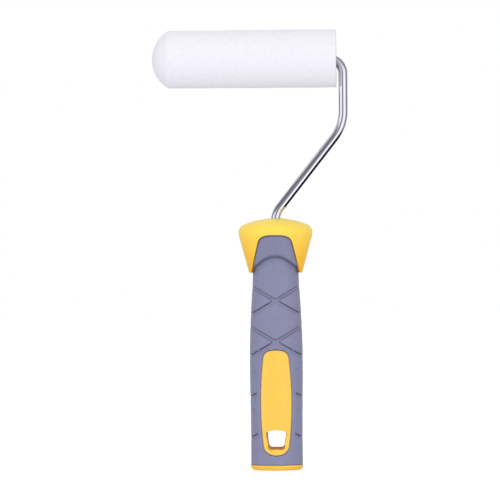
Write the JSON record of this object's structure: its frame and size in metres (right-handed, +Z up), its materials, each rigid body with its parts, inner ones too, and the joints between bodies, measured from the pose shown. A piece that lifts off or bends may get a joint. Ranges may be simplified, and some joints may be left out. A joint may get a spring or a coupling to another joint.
{
  "type": "mini paint roller",
  "caption": "Mini paint roller: a domed foam sleeve spins on a bent chrome wire frame, held by a flared two-part moulded handle with a hang hole.",
  "frame": {"origin": "middle of the flat butt face at the bottom of the handle, on the handle's axis", "axes": "+Z up the handle, +X from the sleeve's domed closed end towards its open end, -Y towards the handle's front"},
  "size_m": [0.1182, 0.0378, 0.2665],
  "materials": {
    "core_plastic": "smooth satin moulded yellow",
    "grip_rubber": "soft matte grey thermoplastic rubber",
    "cap_plastic": "smooth satin moulded yellow",
    "chrome_wire": "bright chrome plate",
    "washer_steel": "zinc plated",
    "nut_steel": "phosphated spring steel",
    "spindle_plastic": "moulded black",
    "bush_plastic": "natural nylon",
    "tube_plastic": "extruded white",
    "foam": "fine open-cell white foam"
  },
  "bodies": {
    "frame": {"handle_core": "core_plastic", "grip_overmould": "grip_rubber", "end_cap": "cap_plastic", "frame_rod": "chrome_wire", "inner_washer": "washer_steel", "outer_washer": "washer_steel", "push_nut": "nut_steel"},
    "spinner": {"spindle": "spindle_plastic", "inner_bush": "bush_plastic", "outer_bush": "bush_plastic"},
    "sleeve": {"core_tube": "tube_plastic", "core_end_plug": "tube_plastic", "foam_cover": "foam"}
  },
  "joints": [
    {"name": "spindle_spin", "type": "hinge", "parent": "frame", "child": "spinner", "pos_m": [0, 0, 0.249], "axis": [1, 0, 0], "continuous": true},
    {"name": "sleeve_pull", "type": "slide", "parent": "spinner", "child": "sleeve", "axis": [-1, 0, 0], "range_m": [0, 0.1]}
  ]
}
